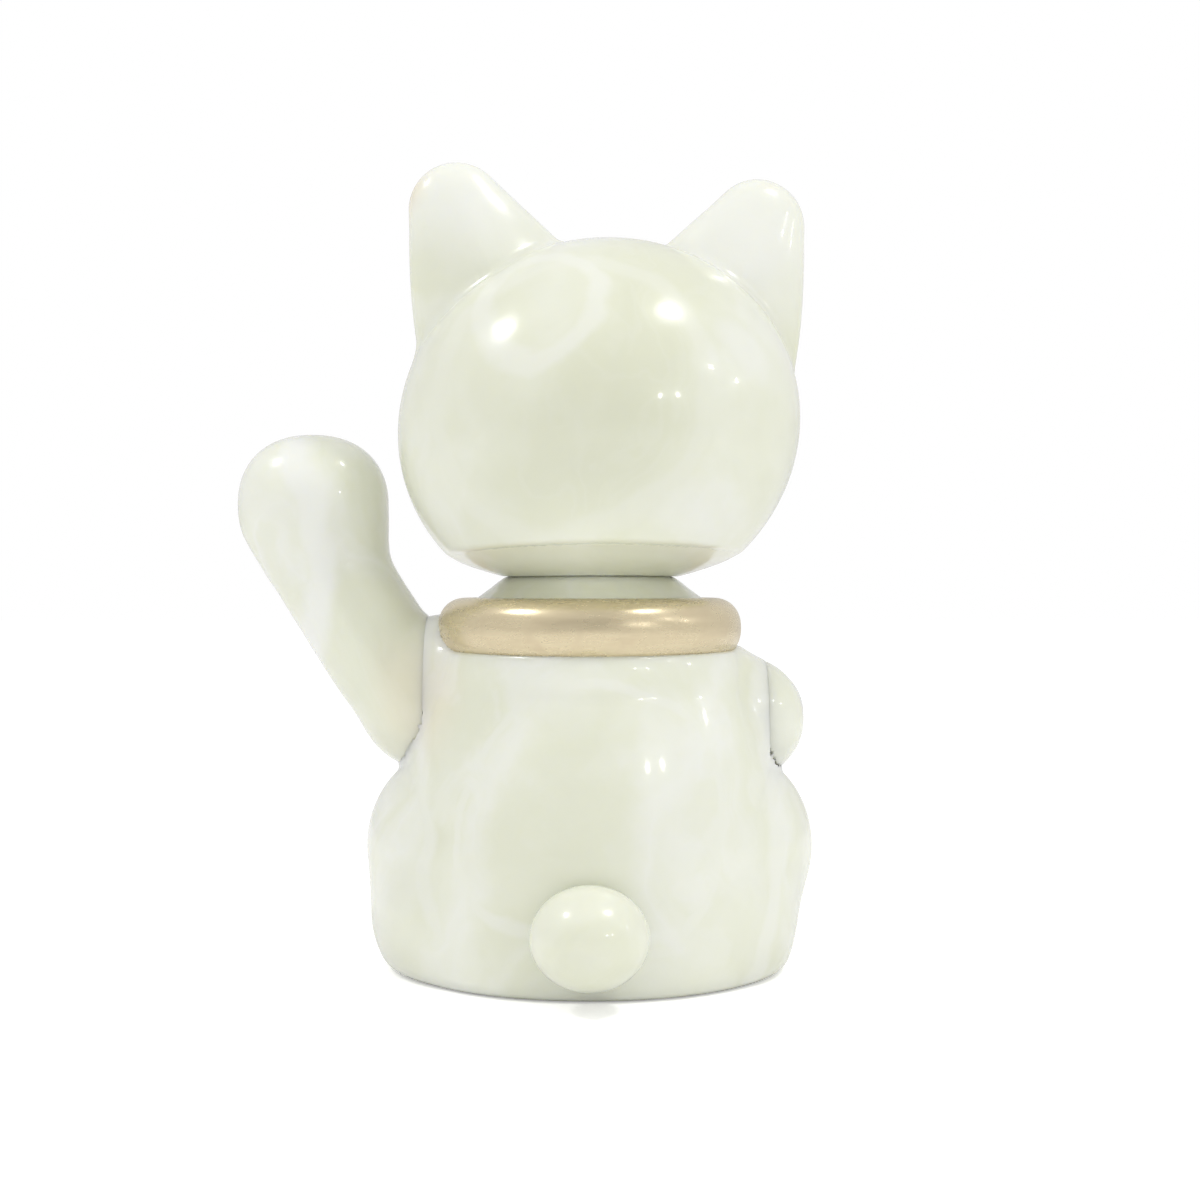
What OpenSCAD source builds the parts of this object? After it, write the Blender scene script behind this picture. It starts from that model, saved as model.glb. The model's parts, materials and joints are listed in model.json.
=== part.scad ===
// Beckoning cat figurine: hollow soft-vinyl shells joined by snap-in plugs.
// Millimetres, +Z up, the cat faces -Y. The origin is on the base, under the neck.

/* [Torso] */
// Half of the torso's width at its widest level
torso_half_w = 32.5; // [32:0.25:33]
// Half of the torso's depth at its widest level
torso_half_d = 29.2; // [28.8:0.2:29.6]
// Wall thickness of every vinyl shell
wall = 2.2; // [2:0.1:2.4]

/* [Collar] */
// Radius of the collar's ring, to the middle of its tube
collar_ring_r = 20.5; // [20.3:0.1:20.7]
// Radius of the collar's tube
collar_tube_r = 4.7; // [4.5:0.1:4.8]

/* [Head] */
// Half of the head's width
head_half_w = 33.2; // [32:0.2:34]
// Half of the head's depth
head_half_d = 29; // [28:0.5:29.5]
// Half of the head's height, before its underside is cut flat
head_half_h = 30.6; // [30:0.2:31.4]
// Angle that the head is turned to at rest, towards the raised paw
head_turn = 8; // [0:1:15]

/* [Raised arm] */
// Width of the raised paw
paw_w = 24.2; // [23:0.2:24.4]

/* [Tail and coin] */
// Radius of the ball tail
tail_r = 8.3; // [8:0.1:8.6]
// Height of the oval coin
coin_h = 28; // [24:1:28]

/* [Hidden] */
$fn = 64;
fit = 0.05;      // radial clearance of a plug in its bore
gap = 0.3;       // clearance between faces that turn past each other
film = 0.5;      // thickness of a painted feature
knit = 0.04;     // how far joined shapes run into each other
deep = 150;      // longer than anything that is cut with it
CREAM = "#e9ebdc";
GOLD = "#d9a531";
INK = "#1d1a18";
ROSE = "#d98a86";

// Torso: one ellipsoid with a haunch, a thigh and a foot on each side
belly_z = 14;
torso_half_h = 58;
shoulder_z = 51;
thigh_at = [22, -5, 20];
thigh_r = [15, 21, 16.5];
haunch_at = [20, -2, 10];
haunch_r = [15.6, 22, 16];
foot_at = [14.5, -28, 5];
foot_r = [9.5, 14, 8.5];

// Neck: a flared cone above the collar, then a stem and flange that hold the head
collar_z = 56.7;
lip_r = 24.4;
lip_h = 2.4;
core_r = 19;
flare_foot = [20.6, 61.3];
flare_bend = [13.8, 64.2];
neck_r = 7.25;
neck_top = 69.6;
neck_flange_r = 9.4;
flange_h = 3;
neck_bore_r = 4.5;
neck_sink = 4;      // how deep the neck's root lies in the torso

// Head: the neck's axis is the Z axis
head_at = [-0.8, 5.5, 89.6];
skull_roll = 8;      // the skull's longer axis dips to the cat's left
chin_z = 66.4;       // level of the underside on the neck's axis
chin_tilt = 5;       // the underside rises towards the back
dish_r = 13.5;
muzzle_at = [0, -20, 82];
muzzle_r = [10.5, 6.5, 7.5];
ear_shift = -2.7;    // both ears sit a little to the cat's right
ear_rise = 0.7;      // and the left one stands higher than the right one
ear_at = [25.4, 5.5, 123.2];
ear_tip_r = 7.6;
ear_lean = 26;
ear_len = 24;
ear_overlap = 1;     // how far the ear's cone reaches into its round tip
ear_spread = 26;     // half angle of the ear's cone
ear_flat = 0.62;
eye_at = [11, 91];
eye_r = 3.6;
nose_at = [0, 85.6];
nose_r = 2.3;
smile_r = 3.2;
smile_z = 82;
line_w = 0.9;
whisker_at = [20, 83];
whisker_pitch = 3.2;
whisker_len = 9;
whisker_fan = 9;
inner_ear_r = 4.4;
inner_ear_w = 14;
inner_ear_h = 13;

// Raised (left) arm, turning about X
left_seat = [27, -1, 44];
left_r = 11;
left_path = [[29, -1, 44], [33.5, -1, 50], [40.4, -1.5, 61], [44.2, -2, 68]];
left_path_r = [10.3, 9.7, 9.3, 9.7];
left_paw_at = [46.7, -3, 76.8];
paw_d = 22.4;
paw_h = 23.2;
toe_r = 4.6;
toe_pitch = 6.6;
toe_front = -8.6;
toe_up = 4.2;
pad_shift = [0, -9.4, -4.2];
pad_r = [5, 2.6, 3.6];

// Lowered (right) arm, turning about X
right_seat = [-24.8, -1, 41.3];
right_r = 10.8;
right_path = [[-26.3, -2.5, 41.8], [-28.5, -12.5, 43], [-24.3, -23.6, 42.8], [-16.5, -30.5, 41.5]];
right_path_r = [9.4, 8.2, 7.6, 7.9];
body_clear = 0.7;    // how far the lowered arm stays off the belly and the thigh

// Snap-in plugs
arm_plug_r = 4.2;
arm_flange_r = 5.5;
tail_plug_r = 3;
tail_flange_r = 4.2;
plug_bore_r = 2;
plug_bore_l = 20;
seat_web = 1.5;      // extra wall behind the left arm's seat
base_plug_r = 10;
base_flange_r = 12;

// Tail, coin and bell
tail_at = [0, 33.6, 11];
tail_seat = 28.4;   // where the tail's flat face meets the torso
coin_w = 17;
coin_t = 2.4;
coin_at = [3.2, -29.5, 26];
coin_rim = 1.5;
coin_relief = 0.5;
coin_bar = 8;
coin_peg_r = 2.5;
coin_peg = 5;
bell_r = 5.3;
bell_wall = 0.6;
bell_pivot = [0, -26.9, 54.4];
bell_drop = 8.3;
bell_lean = 24;
wire_r = 0.55;
loop_r = 1.9;
slot_w = 1.2;
pellet_r = 1.7;

// ---------- Helpers ----------

function mirrored(p, side) = [side * p.x, p.y, p.z];
function grown(r, by) = [r.x + by, r.y + by, r.z + by];
function bend(a, b, c, t) = (1 - t) * (1 - t) * a + 2 * t * (1 - t) * b + t * t * c;

module ellipsoid(at, radii) translate(at) scale(radii) sphere(1);

// A tapered round bar from a to b, with a ball on its far end
module limb(a, b, ra, rb) {
    d = b - a;
    l = norm(d);
    translate(a) rotate([0, acos(d.z / l), atan2(d.y, d.x)]) cylinder(r1 = ra, r2 = rb, h = l);
    translate(b) sphere(rb + knit);
}

module limb_chain(path, radii, grow) for (i = [1 : len(path) - 1])
    limb(path[i - 1], path[i], radii[i - 1] + grow, radii[i] + grow);

// A snap-in plug along +Z: a stem through a wall, then a tapered flange inside it
module plug(r, stem, flange_r) {
    cylinder(r = r, h = stem + flange_h - knit / 4);
    translate([0, 0, stem]) cylinder(r1 = flange_r, r2 = r, h = flange_h);
}

// Everything above the level z
module above(z, tilt = 0) translate([0, 0, z]) rotate([tilt, 0, 0])
    translate([-deep, -deep, 0]) cube(2 * deep);

// The half space beyond the plane x = at, on the side given
module beyond(at, side) translate([side > 0 ? at : at - 2 * deep, -deep, -deep]) cube(2 * deep);

// ---------- Torso ----------

module belly(grow) ellipsoid([0, 0, belly_z], grown([torso_half_w, torso_half_d, torso_half_h], grow));

module body_bulk(grow = 0) {
    intersection() {
        union() {
            belly(grow);
            for (side = [-1, 1]) {
                ellipsoid(mirrored(thigh_at, side), grown(thigh_r, grow));
                ellipsoid(mirrored(haunch_at, side), grown(haunch_r, grow));
                ellipsoid(mirrored(foot_at, side), grown(foot_r, grow));
            }
        }
        translate([-deep, -deep, -grow]) cube([2 * deep, 2 * deep, shoulder_z + 2 * grow]);
    }
}

// The seat of an arm: a ball-shaped shoulder, cut off flat where the arm turns on it
module shoulder(seat, r, side) intersection() {
    translate(seat) sphere(r);
    beyond(seat.x - side * gap / 2, -side);
}

module seat_recess(seat, r, side) translate([seat.x - side * gap / 2, seat.y, seat.z])
    rotate([0, side * 90, 0]) cylinder(r = r, h = deep);

module neck() rotate_extrude() polygon([
    [0, shoulder_z - neck_sink], [core_r, shoulder_z - neck_sink],
    for (t = [0 : 0.125 : 1]) bend(flare_foot, flare_bend, [neck_r, neck_top], t),
    [neck_r, neck_top + gap + wall + gap], [neck_flange_r, neck_top + wall + 2 * gap],
    [neck_r, neck_top + wall + 2 * gap + flange_h], [0, neck_top + wall + 2 * gap + flange_h]]);

module neck_bore() rotate_extrude() polygon([
    [0, shoulder_z - 2 * neck_sink], [core_r - collar_tube_r - wall, shoulder_z - 2 * neck_sink],
    [core_r - collar_tube_r - wall, collar_z + 2], [neck_bore_r, neck_top - 2],
    [neck_bore_r, neck_top + deep], [0, neck_top + deep]]);

module collar_outline(grow) {
    translate([collar_ring_r, collar_z]) circle(collar_tube_r + grow);
    translate([core_r + gap - grow, shoulder_z + gap - grow])
        square([lip_r - core_r - gap + 2 * grow, lip_h + 2 * grow]);
}

module torso_cavity() {
    difference() {
        body_bulk(-wall);
        seat_recess(left_seat - [wall, 0, 0], left_r + gap + wall, 1);
        seat_recess(right_seat + [wall, 0, 0], right_r + gap + wall, -1);
    }
    shoulder(left_seat - [wall, 0, 0], left_r - wall - seat_web, 1);
    neck_bore();
}

module torso() color(CREAM) difference() {
    union() {
        body_bulk();
        neck();
        shoulder(left_seat, left_r, 1);
    }
    seat_recess(left_seat, left_r + gap, 1);
    seat_recess(right_seat, right_r + gap, -1);
    rotate_extrude() collar_outline(fit);
    torso_cavity();
    translate(left_seat) rotate([0, -90, 0]) cylinder(r = arm_plug_r + fit, h = plug_bore_l / 2);
    translate(right_seat) rotate([0, 90, 0]) cylinder(r = arm_plug_r + fit, h = plug_bore_l / 2);
    on_tail_axis(tail_seat - gap / 2) cylinder(r = tail_r, h = deep);
    on_tail_axis(tail_seat - 2 * tail_r) cylinder(r = tail_plug_r + fit, h = deep);
    translate(coin_at) rotate([-90, 0, 0]) cylinder(r = coin_peg_r + fit, h = 2 * coin_peg);
    translate([0, 0, -1]) cylinder(r = base_plug_r, h = wall + 2);
}

module base_plug() color(CREAM) difference() {
    plug(base_plug_r, wall, base_flange_r);
    translate([0, 0, wall]) cylinder(r = base_plug_r - wall, h = deep);
}

// ---------- Collar and bell ----------

module collar() color(GOLD) rotate_extrude() collar_outline(0);

// The bell's own frame: its origin is the pivot and it hangs along -Z
module at_bell() translate(bell_pivot) rotate([-bell_lean, 0, 0]) children();

// The eye that the bell hangs from: a round plate with a hole along the bell's hinge
module bell_staple() color(GOLD) difference() {
    translate(bell_pivot) rotate([0, 90, 0]) difference() {
        cylinder(r = loop_r + wire_r, h = 2 * wire_r, center = true);
        cylinder(r = loop_r - wire_r, h = 3 * wire_r, center = true);
    }
    rotate_extrude() collar_outline(0);
}

module bell_loop() color(GOLD) at_bell() difference() {
    translate([0, 0, -loop_r]) rotate([90, 0, 0]) rotate_extrude() translate([loop_r, 0]) circle(wire_r);
    translate([0, 0, -bell_drop]) sphere(bell_r);
}

module bell_half(side) difference() {
    sphere(bell_r);
    sphere(bell_r - bell_wall);
    translate([-deep, -deep, side > 0 ? -2 * deep : 0]) cube(2 * deep);
}

module bell_upper() color(GOLD) at_bell() translate([0, 0, -bell_drop]) bell_half(1);

module bell_lower() color(GOLD) at_bell() translate([0, 0, -bell_drop]) difference() {
    bell_half(-1);
    translate([-deep, -slot_w / 2, -deep]) cube([2 * deep, slot_w, deep - 1.5]);
}

module bell_pellet() color("silver") at_bell()
    translate([0, 0, -bell_drop - bell_r + bell_wall + pellet_r + 0.1]) sphere(pellet_r);

// ---------- Arms ----------

module left_paw(grow = 0) ellipsoid(left_paw_at, grown([paw_w / 2, paw_d / 2, paw_h / 2], grow));

module left_bulk(grow = 0) {
    translate(left_seat) sphere(left_r + grow);
    limb_chain(left_path, left_path_r, grow);
    left_paw(grow);
}

module left_arm() color(CREAM) difference() {
    union() {
        intersection() {
            union() {
                left_bulk();
                for (i = [-1 : 1])
                    translate(left_paw_at + [i * toe_pitch, toe_front, toe_up - abs(i)]) sphere(toe_r);
            }
            beyond(left_seat.x + gap / 2, 1);
        }
        translate(left_seat + [gap, 0, 0]) rotate([0, -90, 0])
            plug(arm_plug_r, wall + 2 * gap, arm_flange_r);
    }
    intersection() {
        left_bulk(-wall);
        beyond(left_seat.x + wall, 1);
    }
    translate(left_seat) rotate([0, 90, 0]) cylinder(r = plug_bore_r, h = plug_bore_l, center = true);
}

module left_paw_pads() color(ROSE) difference() {
    ellipsoid(left_paw_at + pad_shift, pad_r);
    left_paw();
}

module right_bulk(grow = 0) {
    translate(right_seat) sphere(right_r + grow);
    limb_chain(right_path, right_path_r, grow);
}

// The lowered arm lies against the belly, and it is flat where it turns on its seat
module right_arm() color(CREAM) {
    difference() {
        right_bulk();
        belly(body_clear);
        right_cavity();
    }
    difference() {
        translate(right_seat) sphere(right_r);
        beyond(right_seat.x - gap / 2, 1);
        difference() {
            translate(right_seat) sphere(right_r - wall);
            beyond(right_seat.x - wall - gap, 1);
        }
        translate(right_seat) rotate([0, 90, 0]) cylinder(r = plug_bore_r, h = 3 * wall, center = true);
    }
    difference() {
        translate(right_seat - [gap, 0, 0]) rotate([0, 90, 0])
            plug(arm_plug_r, wall + 2 * gap, arm_flange_r);
        translate(right_seat) rotate([0, 90, 0]) cylinder(r = plug_bore_r, h = plug_bore_l, center = true);
    }
}

module right_cavity() difference() {
    right_bulk(-wall);
    belly(body_clear + wall);
}

// ---------- Tail and coin ----------

// Placed on the tail's axis, along +Y, at the depth given
module on_tail_axis(y) translate([0, y, tail_at.z]) rotate([-90, 0, 0]) children();

module tail() color(CREAM) difference() {
    union() {
        intersection() {
            translate(tail_at) sphere(tail_r);
            on_tail_axis(tail_seat + gap / 2) cylinder(r = deep, h = deep);
        }
        on_tail_axis(tail_seat + gap / 2) mirror([0, 0, 1]) plug(tail_plug_r, wall + gap, tail_flange_r);
    }
    intersection() {
        translate(tail_at) sphere(tail_r - wall);
        on_tail_axis(tail_seat + wall) cylinder(r = deep, h = deep);
    }
    on_tail_axis(tail_seat - tail_r) cylinder(r = plug_bore_r, h = 2 * tail_r);
}

module coin() color(GOLD) {
    translate(coin_at) rotate([90, 0, 0]) difference() {
        scale([coin_w / coin_h, 1, 1]) cylinder(r = coin_h / 2, h = coin_t);
        translate([0, 0, coin_t - coin_relief]) scale([coin_w / coin_h, 1, 1])
            cylinder(r = coin_h / 2 - coin_rim, h = coin_t);
    }
    for (i = [-1 : 1]) translate(coin_at + [-coin_bar / 2, -coin_t, i * coin_h / 5 - line_w / 2])
        cube([coin_bar, coin_relief, line_w]);
    translate(coin_at) rotate([-90, 0, 0]) cylinder(r = coin_peg_r, h = coin_peg);
}

// ---------- Head ----------

// Placed at the tip of an ear, whose length runs along -Z
module at_ear(side) translate(mirrored(ear_at, side) + [ear_shift, 0, side * ear_rise])
    rotate([0, side * ear_lean, 0]) children();

module ear_form(grow = 0) scale([1, ear_flat, 1]) {
    sphere(ear_tip_r + grow);
    translate([0, 0, -ear_len]) cylinder(
        r1 = ear_tip_r + ear_len * tan(ear_spread) + grow,
        r2 = ear_tip_r - ear_overlap * tan(ear_spread) + grow,
        h = ear_len + ear_overlap);
}

module skull(grow = 0) translate(head_at) rotate([0, skull_roll, 0])
    scale(grown([head_half_w, head_half_d, head_half_h], grow)) sphere(1);

module head_skin(grow = 0) {
    skull(grow);
    ellipsoid(muzzle_at, grown(muzzle_r, grow));
}

module head() color(CREAM) rotate([0, 0, head_turn]) difference() {
    union() {
        intersection() {
            head_skin();
            above(chin_z, chin_tilt);
        }
        for (side = [-1, 1]) at_ear(side) ear_form();
    }
    difference() {
        intersection() {
            skull(-wall);
            above(chin_z + wall, chin_tilt);
        }
        cylinder(r = dish_r + wall, h = neck_top + gap + wall);
    }
    cylinder(r = dish_r, h = neck_top + gap);
    cylinder(r = neck_r + fit, h = neck_top + 2 * flange_h);
}

// A painted feature: a thin layer on the face, in the outline given on the XZ plane
module face_paint() rotate([0, 0, head_turn]) intersection() {
    difference() {
        head_skin(film);
        head_skin();
    }
    rotate([90, 0, 0]) linear_extrude(deep) children();
}

module eye(side) color(INK) face_paint() translate([side * eye_at.x, eye_at.y]) circle(eye_r);

module left_eye() eye(1);
module right_eye() eye(-1);

module nose() color(ROSE) face_paint() translate(nose_at) scale([1.3, 1]) circle(nose_r);

// Two hanging arcs that meet under the nose
module mouth() color(INK) face_paint() intersection() {
    for (side = [-1, 1]) translate([side * (smile_r - line_w / 2), smile_z]) difference() {
        circle(smile_r);
        circle(smile_r - line_w);
    }
    translate([-deep, smile_z - deep]) square([2 * deep, deep]);
}

module whiskers() color(INK) face_paint() for (side = [-1, 1], i = [-1 : 1])
    translate([side * whisker_at.x, whisker_at.y + i * whisker_pitch]) rotate(side * i * whisker_fan)
        square([whisker_len, line_w], center = true);

// The painted inside of an ear: a thin layer on its front face
module inner_ear(side) color(GOLD) rotate([0, 0, head_turn]) difference() {
    at_ear(side) intersection() {
        difference() {
            ear_form(film);
            ear_form();
        }
        rotate([90, 0, 0]) linear_extrude(deep) inner_ear_outline();
    }
    skull(film);
}

module inner_ear_outline() {
    circle(inner_ear_r);
    polygon([[-inner_ear_r, 0], [inner_ear_r, 0],
             [inner_ear_w / 2, -inner_ear_h], [-inner_ear_w / 2, -inner_ear_h]]);
}

module left_inner_ear() inner_ear(1);
module right_inner_ear() inner_ear(-1);

torso();
base_plug();
collar();
bell_staple();
bell_loop();
bell_upper();
bell_lower();
bell_pellet();
left_arm();
left_paw_pads();
right_arm();
tail();
coin();
head();
left_eye();
right_eye();
nose();
mouth();
whiskers();
left_inner_ear();
right_inner_ear();
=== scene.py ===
"""Beckoning cat figurine: marbled shells, gold collar, brass bell and painted face round the CAD frame."""

import json
import math

import bpy
import numpy as np
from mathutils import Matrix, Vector


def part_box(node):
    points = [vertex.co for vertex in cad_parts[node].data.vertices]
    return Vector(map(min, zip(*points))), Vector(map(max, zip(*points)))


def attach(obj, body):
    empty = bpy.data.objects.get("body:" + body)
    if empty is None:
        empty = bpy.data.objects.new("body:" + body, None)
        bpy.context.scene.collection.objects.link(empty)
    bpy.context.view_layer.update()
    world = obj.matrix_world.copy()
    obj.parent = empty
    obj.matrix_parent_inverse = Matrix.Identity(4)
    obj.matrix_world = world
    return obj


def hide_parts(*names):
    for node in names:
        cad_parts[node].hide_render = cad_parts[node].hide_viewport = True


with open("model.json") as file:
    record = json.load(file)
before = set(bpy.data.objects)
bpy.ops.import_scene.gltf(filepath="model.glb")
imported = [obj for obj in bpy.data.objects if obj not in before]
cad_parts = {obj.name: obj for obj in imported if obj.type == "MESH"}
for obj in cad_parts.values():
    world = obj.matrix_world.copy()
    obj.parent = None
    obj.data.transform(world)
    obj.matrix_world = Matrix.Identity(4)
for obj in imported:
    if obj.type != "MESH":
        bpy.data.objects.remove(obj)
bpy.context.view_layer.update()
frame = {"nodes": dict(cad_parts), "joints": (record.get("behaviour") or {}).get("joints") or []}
MM = 0.001
JOINTS = {j["name"]: np.array(j["pos_m"]) / MM for j in frame["joints"]}


def box_mm(node):
    """(lowest, highest) corner of a CAD node in millimetres."""
    low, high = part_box(node)
    return np.array(low) / MM, np.array(high) / MM


def vec(*numbers):
    return np.array(numbers, np.float32)


# ---------------------------------------------------------------- sizes, mm
GAP = 0.3             # clearance between faces that turn past each other
SEAM = 0.03           # the closer fit that is drawn where two shells meet
SEAT_ROUND = 0.25     # rounding of an edge inside a socket
CELL = 0.5           # grid of the shells
FINE_CELL = 0.17     # grid of the small pieces

head_joint = JOINTS["head_turn"]
left_seat = JOINTS["raised_arm_swing"]
right_seat = JOINTS["lowered_arm_swing"]
tail_joint = JOINTS["tail_turn"]
bell_pivot = JOINTS["bell_swing"]
collar_low, collar_high = box_mm("collar")
tail_low, tail_high = box_mm("tail")
coin_low, coin_high = box_mm("coin")
torso_low, torso_high = box_mm("torso")
head_low, head_high = box_mm("head")

COLLAR_TUBE = 4.7
COLLAR_RING = collar_high[0] - COLLAR_TUBE
COLLAR_FOOT = collar_low[2] + 0.1
COLLAR_HALF = (collar_high[2] - COLLAR_FOOT) / 2
COLLAR_MID = COLLAR_FOOT + COLLAR_HALF
BEAD_POWER = 2.2      # 2 is an ellipse, and more is squarer

BELLY_AT = vec(0, 0, 14)
BELLY_R = vec(32.5, 29.2, 58)
THIGH_AT = vec(22, -5, 20)
THIGH_R = vec(15.5, 21, 16.5)
HIP_AT = vec(20, -2, 9.5)
HIP_R = vec(15.5, 22, 16)
HIP_FULLER = 0.9      # how much wider the left hip is, and narrower the right one
FOOT_AT = vec(14.5, -28, 5)
FOOT_R = vec(9.5, 14, 8.5)
BASE_ROUND = 2.6
YOKE_RING = 19.8      # the ring of flesh under the collar
YOKE_TUBE = 4.2
YOKE_Z = 50.4
PLUG_R = 4.2          # sockets for the arms' plugs
PLUG_DEEP = 7
TAIL_HOLE_R = 3.2
TAIL_HOLE_DEEP = 6
BASE_HOLE_R = 10.05
BASE_HOLE_DEEP = 7

NECK_TOP = head_joint[2]
NECK_R = 7.25
NECK_CLEAR = 0.15
NECK_HEIGHTS = [0, 40, 60, 61.2, 62.2, 63.1, 64.0, 64.7, 65.2, 65.8, 66.8, 68, NECK_TOP, 75]
NECK_RADII = [19, 19, 20.4, 18.9, 17.5, 16.3, 15.2, 14.2, 13.0, 11.4, 9.7, 8.3, NECK_R, 7.1]

HEAD_TURN = math.radians(8)
SKULL_ROLL = math.radians(17)
SKULL_AT = vec(-0.9, 5.5, 89.4)
SKULL_R = vec(33.1, 29, 30.4)
MUZZLE_AT = vec(0, -20, 82)
MUZZLE_R = vec(10.5, 6.5, 7.5)
CHIN_Z = 67.2         # the head's underside: a tilted plane with a dome on it
CHIN_DOME = 4.4
CHIN_R = (22.6, 19.8)
CHIN_TILT = math.radians(5)
EAR_AT = vec(24.9, 5.5, 123.45)
EAR_SHIFT = -2.5      # moves both ears towards the lowered arm
EAR_RISE = 0.6        # lifts the ear on the raised arm's side and drops the other
EAR_TIP_R = 7.85
EAR_LEAN = math.radians(24)
EAR_SPREAD = math.radians(22.5)
EAR_LONG = 26

LEFT_R, RIGHT_R = 11.15, 10.25        # round shoulders of the raised and the lowered arm
ROOT_BLEND = 3.0
CUP_DROP = 0.6        # how far the fillet round a shoulder starts below it
RIGHT_SEAM_X = right_seat[0] - 4.4
LEFT_PAW = vec(46.4, -3, 76.9)
LEFT_PAW_R = vec(12.5, 11.3, 11.8)
LEFT_PAW_POWER = 2.25
TOE_R = 4.6
TOE_PITCH = 6.6
BODY_CLEAR = 0.4      # between the lowered arm and the belly

TAIL_R = (tail_high[0] - tail_low[0]) / 2
TAIL_AT = vec(0, tail_high[1] - TAIL_R, tail_joint[2])
TAIL_RADII = vec(TAIL_R * 1.08, TAIL_R, TAIL_R * 0.95)
TAIL_FACE_R = TAIL_RADII[0] * math.sqrt(1 - ((TAIL_AT[1] - tail_joint[1]) / TAIL_R) ** 2)


# ---------------------------------------------------------------- distance fields
# Each field takes points (n, 3) in millimetres and returns how far they lie outside the surface.
def length(p):
    return np.sqrt(np.einsum("ij,ij->i", p, p))


def ellipsoid(p, at, radii):
    q = (p - at) / radii
    k0 = length(q)
    k1 = length(q / radii)
    return k0 * (k0 - 1) / np.maximum(k1, 1e-6)


def boxy(p, at, radii, power):
    """An ellipsoid with fuller shoulders: its sections are superellipses."""
    q = np.abs((p - at) / radii) ** power
    return (q.sum(1) ** (1 / power) - 1) * float(np.mean(radii))


def ball(p, at, r):
    return length(p - at) - r


def bar(p, a, b, ra, rb):
    """A tapered round bar from a to b."""
    a, b = np.asarray(a, np.float32), np.asarray(b, np.float32)
    d = b - a
    t = np.clip((p - a) @ d / (d @ d), 0, 1)
    return length(p - a - t[:, None] * d) - (ra + t * (rb - ra))


def blend_min(a, b, k):
    h = np.maximum(k - np.abs(a - b), 0) / k
    return np.minimum(a, b) - h * h * k / 4


def blend_max(a, b, k):
    return -blend_min(-a, -b, k)


def turned(p, angle, axis):
    """Points turned by -angle about an axis (0 x, 1 y, 2 z), which turns a field by +angle."""
    i, j = [(1, 2), (2, 0), (0, 1)][axis]
    c, s = math.cos(angle), math.sin(angle)
    q = p.copy()
    q[:, i] = c * p[:, i] + s * p[:, j]
    q[:, j] = -s * p[:, i] + c * p[:, j]
    return q


def smooth_path(points, radii, steps=4):
    """Points and radii of a Catmull-Rom curve through a limb's joints."""
    rows = np.array([[*p, r] for p, r in zip(points, radii)], float)
    rows = np.vstack([2 * rows[0] - rows[1], rows, 2 * rows[-1] - rows[-2]])
    out = []
    for i in range(1, len(rows) - 2):
        a, b, c, d = rows[i - 1:i + 3]
        for t in np.arange(steps) / steps:
            out.append(0.5 * (2 * b + (c - a) * t + (2 * a - 5 * b + 4 * c - d) * t ** 2
                              + (3 * b - a - 3 * c + d) * t ** 3))
    out.append(rows[-2])
    return np.array(out, np.float32)


def limb(p, path):
    d = None
    for a, b in zip(path[:-1], path[1:]):
        one = bar(p, a[:3], b[:3], a[3], b[3])
        d = one if d is None else np.minimum(d, one)
    return d


def neck_form(p):
    """The neck, turned about Z: its radius at each height follows a profile."""
    step = 0.25
    levels = np.arange(0, 100, step)
    slope = np.gradient(np.interp(levels, NECK_HEIGHTS, NECK_RADII), step)
    tilt = np.interp(p[:, 2], levels, slope)
    r = np.interp(p[:, 2], NECK_HEIGHTS, NECK_RADII)
    return (np.hypot(p[:, 0], p[:, 1]) - r) / np.sqrt(1 + tilt ** 2)


# ---------------------------------------------------------------- meshing
def cell_edges():
    """The twelve edges of a unit cell, each as its two corners."""
    edges = []
    for axis in range(3):
        first, second = [i for i in range(3) if i != axis]
        for v in (0, 1):
            for u in (0, 1):
                a = np.zeros(3, int)
                a[first], a[second] = u, v
                edges.append((a, a + (np.arange(3) == axis)))
    return edges


def gradient(field, p, step=0.04):
    g = np.empty_like(p)
    for axis in range(3):
        move = np.zeros(3, np.float32)
        move[axis] = step
        g[:, axis] = (field(p + move) - field(p - move)) / (2 * step)
    return g


def step_on(field, p, reach):
    """Points moved one Newton step towards the zero surface of a field."""
    g = gradient(field, p)
    size = np.maximum(np.einsum("ij,ij->i", g, g), 0.2)
    return p - np.clip(field(p) / size, -reach, reach)[:, None] * g


def sampled(field, low, high, cell):
    """The lowest corner of a grid round a box, and a field's values on the grid."""
    margin = 2.5 * cell
    low = np.asarray(low, float) - margin
    count = np.ceil((np.asarray(high, float) + margin - low) / cell).astype(int) + 1
    along = [(low[i] + cell * np.arange(count[i])).astype(np.float32) for i in range(3)]
    values = np.empty(count, np.float32)
    y, z = np.meshgrid(along[1], along[2], indexing="ij")
    for i, x in enumerate(along[0]):
        layer = np.stack([np.full(y.size, x, np.float32), y.ravel(), z.ravel()], 1)
        values[i] = field(layer).reshape(y.shape)
    return low, values


def net_points(low, values, cell):
    """One point in each cell that the surface crosses, and the number of each cell's point."""
    inside = values < 0
    cells = np.array(values.shape) - 1
    total = np.zeros(cells, np.int8)
    for dx, dy, dz in np.ndindex(2, 2, 2):
        total += inside[dx:dx + cells[0], dy:dy + cells[1], dz:dz + cells[2]]
    active = np.argwhere((total > 0) & (total < 8))
    index = np.full(cells, -1, np.int64)
    index[tuple(active.T)] = np.arange(len(active))
    sums = np.zeros((len(active), 3))
    hits = np.zeros(len(active))
    for a, b in cell_edges():
        va, vb = values[tuple((active + a).T)], values[tuple((active + b).T)]
        cross = (va < 0) != (vb < 0)
        t = np.where(cross, va / np.where(cross, va - vb, 1), 0)
        sums += np.where(cross[:, None], a + t[:, None] * (b - a), 0)
        hits += cross
    return (low + cell * (active + sums / hits[:, None])).astype(np.float32), index


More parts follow.
